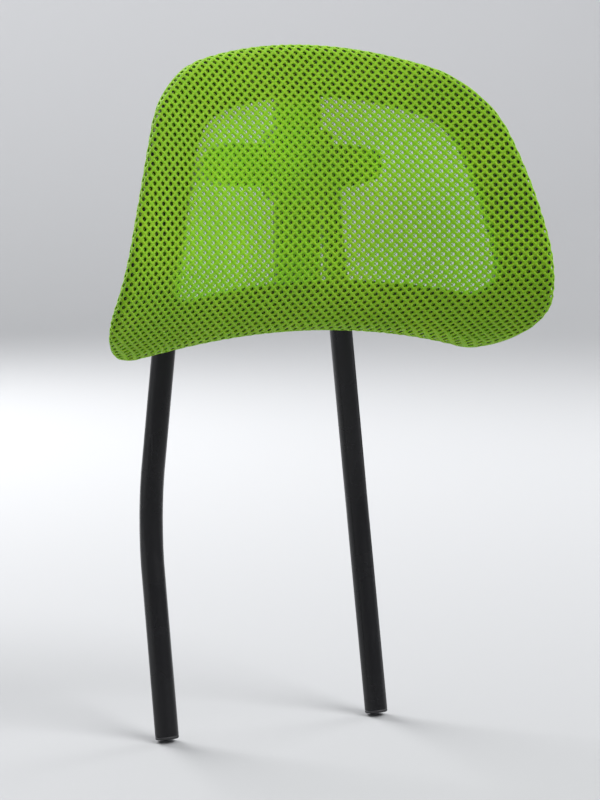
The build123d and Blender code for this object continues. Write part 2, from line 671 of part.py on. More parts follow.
with BuildPart() as guide_rail:
    with BuildSketch(Plane.XY.offset(rail_bottom)):
        with Locations((0, (rail_front + rail_rear) / 2)):
            RectangleRounded(RAIL_WIDTH, RAIL_THICKNESS, RAIL_CORNER)
    extrude(amount=rail_top - rail_bottom)
    for screw_z in (upper_screw_z, lower_screw_z):
        with BuildSketch(Plane(origin=(0, rail_rear, screw_z), x_dir=(1, 0, 0), z_dir=(0, -1, 0))):
            with GridLocations(RAIL_SCREW_SPACING, 0, 2, 1):
                Circle(RAIL_SCREW_RADIUS + SLIDE_GAP)
        extrude(amount=RAIL_THICKNESS, mode=Mode.SUBTRACT)
        with BuildSketch(Plane(origin=(0, rail_rear, screw_z), x_dir=(1, 0, 0), z_dir=(0, -1, 0))):
            with GridLocations(RAIL_SCREW_SPACING, 0, 2, 1):
                Circle(RAIL_SCREW_HEAD_RADIUS + SLIDE_GAP)
        extrude(amount=RAIL_SCREW_HEAD_HEIGHT, mode=Mode.SUBTRACT)
save(guide_rail, "guide_rail")

with BuildPart() as rail_screws:
    for screw_z in (upper_screw_z, lower_screw_z):
        head_plane = Plane(origin=(0, rail_rear, screw_z), x_dir=(1, 0, 0), z_dir=(0, -1, 0))
        with BuildSketch(head_plane):
            with GridLocations(RAIL_SCREW_SPACING, 0, 2, 1):
                Circle(RAIL_SCREW_HEAD_RADIUS)
        extrude(amount=RAIL_SCREW_HEAD_HEIGHT)
        with BuildSketch(head_plane):
            with GridLocations(RAIL_SCREW_SPACING, 0, 2, 1):
                Circle(RAIL_SCREW_RADIUS)
        extrude(amount=RAIL_SCREW_LENGTH)
        with BuildSketch(head_plane):
            with GridLocations(RAIL_SCREW_SPACING, 0, 2, 1):
                RegularPolygon(RAIL_SCREW_SOCKET, 6, major_radius=False)
        extrude(amount=RAIL_SCREW_SOCKET_DEPTH, mode=Mode.SUBTRACT)
save(rail_screws, "rail_screws")

with BuildPart() as stop_bumpers:
    for low in (top_boss_low - BUMPER_THICKNESS, bottom_boss_high):
        with BuildSketch(Plane.XY.offset(centre_z + low)):
            with Locations((0, rail_front - SLIDE_GAP - BUMPER_DEPTH / 2)):
                RectangleRounded(BUMPER_WIDTH, BUMPER_DEPTH, BUMPER_CORNER)
        extrude(amount=BUMPER_THICKNESS)
save(stop_bumpers, "stop_bumpers")
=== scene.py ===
"""Looks of the mesh headrest: its knitted cover, rim, rods and hardware, built round the CAD frame.

Metres, in the frame of the CAD parts: +X is the sitter's left, +Y points backwards and +Z up.
"""
import json
from math import asin, atan2, cos, pi, radians, sin, sqrt, tan

import bmesh
import bpy
from bpy.props import FloatProperty, FloatVectorProperty, PointerProperty
from mathutils import Matrix, Vector


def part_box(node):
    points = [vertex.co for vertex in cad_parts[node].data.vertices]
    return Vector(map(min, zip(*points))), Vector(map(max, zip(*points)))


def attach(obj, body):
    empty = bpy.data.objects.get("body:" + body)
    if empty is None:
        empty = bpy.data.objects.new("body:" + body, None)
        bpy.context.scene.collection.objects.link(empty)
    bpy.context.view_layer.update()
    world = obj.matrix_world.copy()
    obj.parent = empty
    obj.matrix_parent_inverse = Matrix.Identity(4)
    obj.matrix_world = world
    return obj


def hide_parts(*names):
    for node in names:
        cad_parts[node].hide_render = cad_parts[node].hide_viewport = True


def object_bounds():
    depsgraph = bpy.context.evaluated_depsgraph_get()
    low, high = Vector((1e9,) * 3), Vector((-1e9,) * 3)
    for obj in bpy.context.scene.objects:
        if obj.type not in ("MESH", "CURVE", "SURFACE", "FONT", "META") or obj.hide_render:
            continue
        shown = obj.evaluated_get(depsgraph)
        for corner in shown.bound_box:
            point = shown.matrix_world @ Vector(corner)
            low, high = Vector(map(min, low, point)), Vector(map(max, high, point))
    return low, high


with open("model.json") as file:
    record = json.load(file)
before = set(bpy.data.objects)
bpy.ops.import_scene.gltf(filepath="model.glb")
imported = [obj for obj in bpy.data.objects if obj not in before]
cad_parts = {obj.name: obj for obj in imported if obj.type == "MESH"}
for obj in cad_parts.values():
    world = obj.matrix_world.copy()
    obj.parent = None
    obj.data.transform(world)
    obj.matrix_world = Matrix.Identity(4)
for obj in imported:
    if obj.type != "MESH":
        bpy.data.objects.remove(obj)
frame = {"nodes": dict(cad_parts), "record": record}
cad_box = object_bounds()

bl_info = {
    "name": "Mesh headrest",
    "version": (1, 0, 0),
    "blender": (4, 5, 0),
    "location": "3D View > Sidebar > Headrest",
    "description": "Builds the cover, rim, rods, hardware finishes and studio of a mesh headrest",
    "category": "Object",
}

NODES = frame["nodes"]
TURN = 2 * pi
TOLERANCE = 1e-6
RIM_STATIONS = 288
SAME_PLANE, SHARP_EDGE, SHARP_SHADING = radians(1), radians(40), radians(50)
EDGE_ROUNDING = {  # radius of the rounded edges, by node
    "left_rod": 0.0006,
    "right_rod": 0.0006,
    "left_rod_end_plug": 0.0004,
    "right_rod_end_plug": 0.0004,
    "crossbar": 0.0008,
    "left_pocket_cover": 0.0004,
    "right_pocket_cover": 0.0004,
    "slide_block": 0.0008,
    "guide_rail": 0.0005,
    "upper_liner": 0.0003,
    "lower_liner": 0.0003,
    "stop_bumpers": 0.0008,
    "pivot_bolt": 0.0002,
    "pivot_nut": 0.0002,
    "rail_screws": 0.0002,
    "rod_screws": 0.0002,
}
SENSOR_WIDTH = 36
FLOOR_GAP = 0.0005
FLOOR_WELD = 1e-5
FLOOR_STEPS, COVE_STEPS = 96, 12
LIGHT_TARGET = Vector((0, 0, 0.3))
KEY_OFFSET = Vector((1.3, -2.2, 2.6))
AREA_LIGHTS = {  # place, diameter and power
    "side": (Vector((2.2, 0.7, 1.5)), 1.2, 16),
    "behind": (Vector((-0.6, 2.4, 1.8)), 1.8, 90),
}
FINISHED = {}  # materials by slot, once they are made


# ---- settings -----------------------------------------------------------------------------------
def length(name, description, default):
    return FloatProperty(
        name=name,
        description=description,
        default=default,
        unit="LENGTH",
        subtype="DISTANCE",
        precision=4,
    )


def share(name, description, default):
    return FloatProperty(
        name=name, description=description, default=default, min=0, max=1, subtype="FACTOR"
    )


def colour(name, description, default):
    return FloatVectorProperty(
        name=name, description=description, default=default, size=3, min=0, max=1, subtype="COLOR"
    )


class HeadrestShape(bpy.types.PropertyGroup):
    """Outline and curved face, measured from the headrest's centre, as in the CAD part."""

    pivot_rise: length("Pivot rise", "Pivot above the headrest's centre", 0.020)
    face_to_pivot: length("Face to pivot", "Foremost line of the rim ahead of the pivot", 0.070)
    crown_rise: length("Crown rise", "Top of the outline at the middle", 0.0970)
    shoulder_x: length("Shoulder X", "Upper corner before rounding", 0.1142)
    shoulder_rise: length("Shoulder rise", "Upper corner before rounding", 0.0718)
    shoulder_radius: length("Shoulder radius", "Rounding of the upper corners", 0.071)
    chin_x: length("Chin X", "Lower corner before rounding", 0.1614)
    chin_drop: length("Chin drop", "Lower corner before rounding", 0.1166)
    chin_radius: length("Chin radius", "Rounding of the lower corners", 0.031)
    arch_drop: length("Arch drop", "Bottom of the outline at the middle", 0.0880)
    side_bulge: length("Side bulge", "How far the sides bow outwards", 0.0067)
    hollow_radius: length("Hollow radius", "Side to side hollow of the face", 0.336)
    foremost_drop: length("Foremost drop", "Foremost line below the centre", 0.0289)
    upper_radius: length("Upper radius", "Front to back curve above the foremost line", 0.295)
    lower_radius: length("Lower radius", "Front to back curve below it", 0.0796)
    roll_angle: FloatProperty(
        name="Roll angle",
        description="Where the lower curve becomes straight",
        default=radians(60),
        subtype="ANGLE",
    )
    rim_width: length("Rim width", "From the outline to the opening", 0.034)
    rim_thickness: length("Rim thickness", "Front to back, over the cover", 0.012)
    opening_corner: length("Opening corner", "Least radius of the opening's corners", 0.015)
    edge_round: length("Edge round", "Rounding of the rim's outer edges, under the cover", 0.0035)
    opening_round: length("Opening round", "Rounding of the rim's edges at the opening", 0.0015)
    hem_width: length("Hem width", "Cover turned over the rim's back", 0.009)
    groove_width: length("Groove width", "Groove that holds the cover's edge", 0.003)
    groove_depth: length("Groove depth", "Groove that holds the cover's edge", 0.0045)
    groove_round: length("Groove round", "Rounding of the groove's edges", 0.0004)
    strip_width: length("Strip width", "Strip pressed into the groove over the cover", 0.0018)
    strip_proud: length("Strip proud", "How far the strip stands out of the groove", 0.0009)
    strip_round: length("Strip round", "Rounding of the strip's edges in the groove", 0.0003)
    strip_gap: length("Strip gap", "Between the strip and the groove's inner wall", 0.0001)
    boss_width: length("Boss width", "Side to side, where the rim is joined to the rail", 0.028)
    boss_round: length("Boss round", "Rounding of the bosses' edges", 0.002)
    top_boss_rise: length("Top boss rise", "Underside of the upper boss", 0.068)
    rail_top_rise: length("Rail top rise", "Top of the upper boss", 0.0862)
    bottom_boss_drop: length("Bottom boss drop", "Top of the lower boss", 0.060)
    rail_bottom_drop: length("Rail bottom drop", "Underside of the lower boss", 0.0774)


class KnitSettings(bpy.types.PropertyGroup):
    """The spacer knit that is stretched over the rim: an open face and a finer backing."""

    wale_pitch: length("Wale pitch", "Hole spacing across the cover", 0.0065)
    course_pitch: length("Course pitch", "Hole spacing up the cover", 0.0060)
    hole_radius: length("Hole radius", "Holes of the face layer", 0.00142)
    face_thickness: length("Face thickness", "Thickness of the face layer", 0.0007)
    strand_round: length("Strand round", "How far the strands curve back at a hole's edge", 0.00035)
    backing_depth: length("Backing depth", "Backing layer behind the face", 0.0016)
    backing_thickness: length("Backing thickness", "Thickness of the backing layer", 0.0004)
    face_strand: length("Face strand", "Half a face strand, before its holes are rounded", 0.00055)
    backing_strand: length("Backing strand", "Half the width of a backing strand", 0.00045)
    tuck: length("Tuck", "Cover pushed down into the rim's groove", 0.003)
    squeeze: share("Squeeze", "Thickness of the cover where it is squeezed into the groove", 0.4)


class FinishSettings(bpy.types.PropertyGroup):
    """Colours of the materials."""

    yarn: colour("Yarn", "Lit yarn of the cover", (0.37, 0.69, 0.02))
    # Painted shade: the yarn's colour darkened to this where shade falls between the stitches
    yarn_painted_shade: colour("Yarn, deep", "Yarn between the stitches", (0.14, 0.36, 0.008))
    plastic: colour("Plastic", "Moulded black parts", (0.022, 0.022, 0.024))
    coat: colour("Powder coat", "The rods", (0.006, 0.006, 0.007))


class StageSettings(bpy.types.PropertyGroup):
    """Camera, lights and floor."""

    azimuth: FloatProperty(
        name="Azimuth",
        description="Camera's side of the object",
        default=radians(-26),
        subtype="ANGLE",
    )
    distance: length("Distance", "Camera to the headrest's middle", 1.31)
    frame_height: length("Frame height", "Height that the picture takes in", 0.53)
    floor_radius: length("Floor radius", "Flat floor before the backdrop rises", 4.0)
    cove_radius: length("Cove radius", "Curve between floor and backdrop", 2.5)
    wall_height: length("Wall height", "Straight part of the backdrop", 1.0)
    floor_colour: colour("Floor", "The floor", (0.43, 0.435, 0.445))
    wall_colour: colour("Wall", "The backdrop's upright part", (0.60, 0.605, 0.62))
    sky: FloatProperty(name="Sky", description="Even light from all round", default=0.56)
    sky_colour: colour("Sky colour", "Colour of the even light", (0.97, 0.98, 1.0))
    key_power: FloatProperty(name="Key power", description="Broad light from above", default=2.3)
    key_softness: FloatProperty(
        name="Key softness",
        description="Width of the broad light",
        default=radians(34),
        subtype="ANGLE",
    )


# ---- the curved face and its outline ------------------------------------------------------------
def crossing(first, first_radius, second, second_radius, near):
    """The point nearest to near where two circles cross."""
    between = second - first
    along = (between.length**2 + first_radius**2 - second_radius**2) / (2 * between.length)
    across = sqrt(first_radius**2 - along**2)
    unit = between.normalized()
    foot = first + unit * along
    sideways = Vector((-unit.y, unit.x)) * across
    return min((foot + sideways, foot - sideways), key=lambda point: (point - near).length)


def circle_through(start, middle, end):
    """Centre and radius of the circle through three points."""
    chord = end - start
    sag = (middle - (start + end) / 2).length
    radius = (chord.length**2 / 4 + sag**2) / (2 * sag)
    inwards = ((start + end) / 2 - middle).normalized()
    return middle + inwards * radius, radius


class Arc:
    """One round stretch of the outline, between two directions of its outward normal."""

    def __init__(self, centre, radius, start, end, hollow=False):
        self.centre, self.radius, self.start, self.end = centre, radius, start, end
        self.side = -1 if hollow else 1

    def length(self):
        return self.radius * abs(self.end - self.start)

    def at(self, part):
        """Point and outward normal at a part, 0 to 1, of the way along."""
        angle = self.start + (self.end - self.start) * part
        normal = Vector((cos(angle), sin(angle)))
        return self.centre + normal * self.radius * self.side, normal

    def nearest(self, point):
        """Distance outwards, nearest point and normal, or None where another arc is nearer."""
        away = (point - self.centre) * self.side
        low, high = sorted((self.start, self.end))
        if not low - TOLERANCE <= atan2(away.y, away.x) <= high + TOLERANCE:
            return None
        normal = away.normalized()
        foot = self.centre + normal * self.radius * self.side
        return (point - foot).dot(normal), foot, normal


class Outline:
    """The headrest's outline drawn in by inset, as arcs from the top middle down the +X side."""

    def __init__(self, shape, inset=0.0, least_corner=0.0):
        shoulder = Vector((shape.shoulder_x, shape.shoulder_rise))
        chin = Vector((shape.chin_x, -shape.chin_drop))
        run = (chin - shoulder).normalized()
        bulge = (shoulder + chin) / 2 + Vector((-run.y, run.x)) * shape.side_bulge
        mirror = Vector((-1, 1))
        top_middle, low_middle = Vector((0, shape.crown_rise)), Vector((0, -shape.arch_drop))
        crown, crown_radius = circle_through(shoulder * mirror, top_middle, shoulder)
        side, side_radius = circle_through(shoulder, bulge, chin)
        arch, arch_radius = circle_through(chin * mirror, low_middle, chin)
        round_top = shape.shoulder_radius - inset
        round_low = max(shape.chin_radius - inset, least_corner)
        crown_radius -= inset
        side_radius -= inset
        arch_radius += inset
        top = crossing(crown, crown_radius - round_top, side, side_radius - round_top, shoulder)
        low = crossing(arch, arch_radius + round_low, side, side_radius - round_low, chin)

        def facing(vector):
            return atan2(vector.y, vector.x)

        to_top, to_side, to_low = facing(top - crown), facing(top - side), facing(low - side)
        to_arch = facing(arch - low)
        self.arcs = [
            Arc(crown, crown_radius, pi / 2, to_top),
            Arc(top, round_top, to_top, to_side),
            Arc(side, side_radius, to_side, to_low),
            Arc(low, round_low, to_low, to_arch),
            Arc(arch, arch_radius, to_arch, -pi / 2, hollow=True),
        ]

    def lengths(self):
        return [arc.length() for arc in self.arcs]

    def at(self, part, spacing):
        """Point and normal at a part, 0 to 1, of the way round, spaced by a list of arc lengths."""
        mirrored = part > 0.5
        left = (1 - part if mirrored else part) * 2 * sum(spacing)
        for arc, span in zip(self.arcs, spacing):
            if left <= span or arc is self.arcs[-1]:
                break
            left -= span
        point, normal = arc.at(min(left / span, 1))
        flip = Vector((-1 if mirrored else 1, 1))
        return point * flip, normal * flip

    def nearest(self, point):
        """Distance outwards, nearest point and outward normal."""
        flip = Vector((-1 if point.x < 0 else 1, 1))
        found = [near for near in (arc.nearest(point * flip) for arc in self.arcs) if near]
        distance, foot, normal = min(found, key=lambda near: abs(near[0]))
        return distance, foot * flip, normal * flip


class Face:
    """The doubly curved face: flat cloth to outline plane, and outline plane to space."""

    def __init__(self, shape):
        low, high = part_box("pivot_bolt")
        self.shape = shape
        self.pivot = (low + high) / 2
        self.front = self.pivot.y - shape.face_to_pivot
        self.centre_z = self.pivot.z - shape.pivot_rise
        self.roll_drop = shape.lower_radius * sin(shape.roll_angle)
        self.roll_back = shape.lower_radius * (1 - cos(shape.roll_angle))
        self.roll_length = shape.lower_radius * shape.roll_angle

    def back(self, z):
        """How far the middle line has gone back at a height above the centre."""
        shape, rise = self.shape, z + self.shape.foremost_drop
        if rise > 0:
            return shape.upper_radius - sqrt(shape.upper_radius**2 - rise**2)
        if -rise < self.roll_drop:
            return shape.lower_radius - sqrt(shape.lower_radius**2 - rise**2)
        return self.roll_back + (-rise - self.roll_drop) * tan(shape.roll_angle)

    def point(self, spot, depth=0.0):
        """The place of a spot in the outline's plane, at a depth behind the front of the rim."""
        hollow = self.shape.hollow_radius
        y = self.front - hollow + sqrt((hollow + self.back(spot.y) + depth) ** 2 - spot.x**2)
        return Vector((spot.x, y, self.centre_z + spot.y))

    def spot(self, cloth):
        """Where a point of the flat cloth comes to lie, in the outline's plane."""
        shape, along = self.shape, cloth.y
        if along > 0:
            rise = shape.upper_radius * sin(along / shape.upper_radius)
        elif -along < self.roll_length:
            rise = shape.lower_radius * sin(along / shape.lower_radius)
        else:
            rise = -self.roll_drop + (along + self.roll_length) * cos(shape.roll_angle)
        across = shape.hollow_radius * sin(cloth.x / shape.hollow_radius)
        return Vector((across, rise - shape.foremost_drop))

    def cloth(self, spot):
        """The flat cloth's point that comes to lie at a spot."""
        shape, rise = self.shape, spot.y + self.shape.foremost_drop
        if rise > 0:
            along = shape.upper_radius * asin(rise / shape.upper_radius)
        elif -rise < self.roll_drop:
            along = shape.lower_radius * asin(rise / shape.lower_radius)
        else:
            along = -self.roll_length + (rise + self.roll_drop) / cos(shape.roll_angle)
        return Vector((shape.hollow_radius * asin(spot.x / shape.hollow_radius), along))


class Cover:
    """How the cloth lies: over the face, round the rim's edge and down into the groove behind."""

    def __init__(self, shape, knit):
        self.face = Face(shape)
        self.squeeze = knit.squeeze
        self.edge_radius = shape.rim_thickness / 2
        self.line = Outline(shape, self.edge_radius)
        self.wrap = pi * self.edge_radius
        self.back_run = shape.hem_width - self.edge_radius
        self.reach = self.wrap + self.back_run + knit.tuck

    def past_edge(self, cloth):
        """Cloth past the line where the rim's edge starts, with the nearest point and normal."""
        distance, foot, normal = self.line.nearest(self.face.spot(cloth))
        if distance <= 0:
            return 0.0, foot, normal
        return (cloth - self.face.cloth(foot)).length, foot, normal

    def point(self, cloth, depth):
        """The place of a point of the flat cloth, at a depth behind its front."""
        past, foot, normal = self.past_edge(cloth)
        if past == 0:
            return self.face.point(self.face.spot(cloth), depth)
        radius = self.edge_radius
        if past < self.wrap:
            angle = past / radius
            out = (radius - depth) * sin(angle)
            behind = radius - (radius - depth) * cos(angle)
        else:
            along = min(past - self.wrap, self.back_run)
            sunk = past - self.wrap - along
            out = -along - (depth * self.squeeze if sunk > 0 else 0)
            behind = 2 * radius - depth - sunk
        return self.face.point(foot + normal * out, behind)


# ---- meshes -------------------------------------------------------------------------------------
def finish_piece(mesh, name, body, material, replaces=(), smooth=True):
    """Turn a bmesh into a piece that rides on a CAD body."""
    data = bpy.data.meshes.new(name)
    mesh.to_mesh(data)
    mesh.free()
    data.shade_smooth() if smooth else data.shade_flat()
    data.materials.append(material)
    piece = bpy.data.objects.new(name, data)
    bpy.context.scene.collection.objects.link(piece)
    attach(piece, body)
    if replaces:
        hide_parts(*replaces)
    return piece


def closed_band(around, across, place):
    """A grid whose points go to place(part round, part across), joined where its ends meet."""
    mesh = bmesh.new()
    bmesh.ops.create_grid(mesh, x_segments=around, y_segments=across, size=0.5)
    for vert in mesh.verts:
        vert.co = place(vert.co.x + 0.5, vert.co.y + 0.5)
    bmesh.ops.remove_doubles(mesh, verts=mesh.verts, dist=TOLERANCE)
    bmesh.ops.recalc_face_normals(mesh, faces=mesh.faces)
    return mesh


def along_polygon(corners, part):
    """The point a part, 0 to 1, of the way through a closed list of evenly shared corners."""
    place = (part % 1) * len(corners)
    index = int(place + TOLERANCE)
    start, end = corners[index % len(corners)], corners[(index + 1) % len(corners)]
    return start.lerp(end, place - index)


def rounded(corners, radii, steps):
    """A closed list of corners with each one rounded to its radius."""
    points = []
    for index, (corner, radius) in enumerate(zip(corners, radii)):
        before = (corners[index - 1] - corner).normalized()
        after = (corners[(index + 1) % len(corners)] - corner).normalized()
        for step in range(steps + 1):
            part = step / steps
            points.append(corner + before * radius * (1 - part) ** 2 + after * radius * part**2)
    return points


def rim_band(shape, outer_inset, inner_inset, section, stations):
    """A closed section, given as (from the outer edge, depth), carried round the rim."""
    face = Face(shape)
    outer = Outline(shape, outer_inset)
    least_corner = shape.opening_corner if inner_inset == shape.rim_width else 0.0
    inner = Outline(shape, inner_inset, least_corner)
    spacing = Outline(shape).lengths()
    width = inner_inset - outer_inset

    def place(round_part, section_part):
        start = outer.at(round_part % 1, spacing)[0]
        end = inner.at(round_part % 1, spacing)[0]
        across, depth = along_polygon(section, section_part)
        return face.point(start.lerp(end, across / width), depth)

    return closed_band(stations, len(section), place)


def flat_knit(cover, knit, shift):
    """The flat cloth, cut to size: a face for each hole, all shifted by part of a hole."""
    half_width = cover.face.shape.chin_x + cover.reach
    half_height = cover.face.shape.chin_drop + 2 * cover.reach
    count = 2 * int(half_width / knit.wale_pitch + half_height / knit.course_pitch)
    mesh = bmesh.new()
    bmesh.ops.create_grid(mesh, x_segments=count, y_segments=count, size=count / 2)
    bmesh.ops.translate(mesh, verts=mesh.verts, vec=(shift, shift, 0))
    turn = Matrix.Rotation(pi / 4, 3, "Z")
    spread = Matrix.Diagonal((knit.wale_pitch / sqrt(2), knit.course_pitch / sqrt(2), 1))
    bmesh.ops.transform(mesh, matrix=(spread @ turn).to_4x4(), verts=mesh.verts)
    outside = [
        face
        for face in mesh.faces
        if abs(face.calc_center_median().x) > half_width
        or abs(face.calc_center_median().y) > half_height
        or cover.past_edge(face.calc_center_median().xy)[0] > cover.reach
    ]
    bmesh.ops.delete(mesh, geom=outside, context="FACES")
    return mesh


def keep_flat_map(mesh):
    """Store the flat cloth's places, in metres, as the UV map that the stitches follow."""
    layer = mesh.loops.layers.uv.new("flat_cloth")
    for face in mesh.faces:
        for loop in face.loops:
            loop[layer].uv = loop.vert.co.xy


def materials():
    """The finished materials by slot, made the first time that they are needed."""
    if not FINISHED:
        FINISHED.update(make_materials(bpy.context.scene.headrest_finish))
    return FINISHED


# ---- operators ----------------------------------------------------------------------------------
class HEADREST_OT_cover(bpy.types.Operator):
    """Knit the face and backing of the cover and stretch them over the rim"""

    bl_idname = "headrest.cover"
    bl_label = "Knitted cover"

    def execute(self, context):
        knit, shape = context.scene.headrest_knit, context.scene.headrest_shape
        cover = Cover(shape, knit)
        face, flat, area = self.face_layer(cover, knit)
        backing = self.backing_layer(cover, knit)
        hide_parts("mesh_cover")
        return {"FINISHED"}

    def face_layer(self, cover, knit):
        """The face with its round holes, and the width, length and area of the flat cloth."""
        mesh = flat_knit(cover, knit, 0.0)
        spans = [[vert.co[axis] for vert in mesh.verts] for axis in (0, 1)]
        flat = [max(span) - min(span) for span in spans]
        area = sum(face.calc_area() for face in mesh.faces)
        holes = list(mesh.faces)
        bmesh.ops.inset_individual(mesh, faces=holes, thickness=knit.face_strand)
        edges = list({edge for face in holes for edge in face.edges})
        bmesh.ops.bisect_edges(mesh, edges=edges, cuts=1)
        for face in holes:
            middle = face.calc_center_median()
            for vert in face.verts:
                vert.co = middle + (vert.co - middle).normalized() * knit.hole_radius
        piece = self.stretch(
            mesh, holes, cover, "cover_face", 0.0, knit.strand_round, knit.face_thickness
        )
        return piece, flat, area

    def backing_layer(self, cover, knit):
        """The finer backing, whose strands cross behind the holes of the face."""
        mesh = flat_knit(cover, knit, 0.5)
        holes = list(mesh.faces)
        bmesh.ops.inset_individual(mesh, faces=holes, thickness=knit.backing_strand)
        return self.stretch(
            mesh,
            holes,
            cover,
            "cover_backing",
            knit.backing_depth,
            knit.strand_round / 2,
            knit.backing_thickness,
        )

    def stretch(self, mesh, holes, cover, name, depth, sunk, thickness):
        """Open the holes, lay the cloth over the rim with the hole edges sunk, and thicken it."""
        hole_verts = {vert for face in holes for vert in face.verts}
        depths = {vert: depth + (sunk if vert in hole_verts else 0.0) for vert in mesh.verts}
        keep_flat_map(mesh)
        bmesh.ops.delete(mesh, geom=holes, context="FACES_ONLY")
        for vert in mesh.verts:
            vert.co = cover.point(vert.co.xy, depths[vert])
        bmesh.ops.recalc_face_normals(mesh, faces=mesh.faces)
        piece = finish_piece(mesh, name, "headrest", materials()["green_mesh"])
        wall = piece.modifiers.new("thickness", "SOLIDIFY")
        wall.thickness = thickness
        wall.offset = -1
        return piece


class HEADREST_OT_rim(bpy.types.Operator):
    """Mould the rim with its bosses, and the strip that holds the cover in its groove"""

    bl_idname = "headrest.rim"
    bl_label = "Rim and edge strip"

    def execute(self, context):
        shape, knit = context.scene.headrest_shape, context.scene.headrest_knit
        plastic = materials()["black_plastic"]
        skin = knit.backing_depth + knit.backing_thickness
        front, rear = skin, shape.rim_thickness - skin
        width = shape.rim_width - skin
        groove = shape.hem_width - skin
        floor = rear - shape.groove_depth
        corners = [
            (0, front), (width, front), (width, rear),
            (groove + shape.groove_width, rear), (groove + shape.groove_width, floor),
            (groove, floor), (groove, rear), (0, rear),
        ]
        edge, opening = [shape.edge_round], [shape.opening_round] * 2
        radii = edge + opening + [shape.groove_round] * 4 + edge
        section = rounded([Vector(corner) for corner in corners], radii, 4)
        mesh = rim_band(shape, skin, shape.rim_width, section, RIM_STATIONS)
        self.add_bosses(mesh, shape)
        finish_piece(mesh, "rim_frame", "headrest", plastic, ["headrest_frame"])
        self.strip(shape, floor, rear)
        return {"FINISHED"}

    def strip(self, shape, floor, rear):
        """A round-topped strip that lies in the groove against its inner wall."""
        end = shape.hem_width + shape.groove_width - shape.strip_gap
        top = rear + shape.strip_proud
        corners = [(0, floor), (shape.strip_width, floor), (shape.strip_width, top), (0, top)]
        almost_half = 0.48
        radii = [shape.strip_round] * 2 + [shape.strip_width * almost_half] * 2
        section = rounded([Vector(corner) for corner in corners], radii, 5)
        mesh = rim_band(shape, end - shape.strip_width, end, section, RIM_STATIONS)
        plastic = materials()["strip_plastic"]
        finish_piece(mesh, "edge_bead", "headrest", plastic, ["edge_strip"])

    def add_bosses(self, mesh, shape):
        """The two bosses that reach back from the rim to the rail."""
        face = Face(shape)
        rail_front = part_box("guide_rail")[0].y
        for low, high in (
            (shape.top_boss_rise, shape.rail_top_rise),
            (-shape.rail_bottom_drop, -shape.bottom_boss_drop),
        ):
            boss = bmesh.ops.create_cube(mesh, size=1)["verts"]
            for vert in boss:
                height = high if vert.co.z > 0 else low
                behind = face.front + face.back(height) + shape.rim_thickness / 2
                y = rail_front if vert.co.y > 0 else behind
                vert.co = (vert.co.x * shape.boss_width, y, face.centre_z + height)
            edges = list({edge for vert in boss for edge in vert.link_edges})
            bmesh.ops.bevel(
                mesh,
                geom=edges,
                offset=shape.boss_round,
                segments=3,
                profile=0.5,
                affect="EDGES",
                material=-1,
            )


class HEADREST_OT_hardware(bpy.types.Operator):
    """Round the edges of the rods, crossbar, pivot, block and rail, and give all their finishes"""

    bl_idname = "headrest.hardware"
    bl_label = "Hardware"

    def execute(self, context):
        behaviour = frame["record"]["behaviour"]
        body_of = {name: body for body, names in behaviour["bodies"].items() for name in names}
        for part in frame["record"]["subparts"]:
            name, slot = part["node"], part["material_slot"]
            node = NODES[name]
            node.data.materials.clear()
            node.data.materials.append(materials()[slot])
            if name in EDGE_ROUNDING:
                self.soften(node, name, body_of[name], slot, EDGE_ROUNDING[name])
        return {"FINISHED"}

    def soften(self, node, name, body, slot, radius):
        """A copy of a part with its sharp edges rounded to a radius."""
        mesh = bmesh.new()
        mesh.from_mesh(node.data)
        mesh.transform(node.matrix_world)
        bmesh.ops.remove_doubles(mesh, verts=mesh.verts, dist=TOLERANCE)
        bmesh.ops.dissolve_limit(
            mesh, angle_limit=SAME_PLANE, verts=mesh.verts, edges=mesh.edges, delimit=set()
        )
        sharp = [edge for edge in mesh.edges if edge.calc_face_angle(0.0) > SHARP_EDGE]
        bmesh.ops.bevel(
            mesh,
            geom=sharp,
            offset=radius,
            segments=3,
            profile=0.5,
            affect="EDGES",
            material=-1,
            clamp_overlap=True,
        )
        piece = finish_piece(mesh, name + "_soft", body, materials()[slot], [name])
        piece.data.set_sharp_from_angle(angle=SHARP_SHADING)
        piece.modifiers.new("flat faces", "WEIGHTED_NORMAL").keep_sharp = True


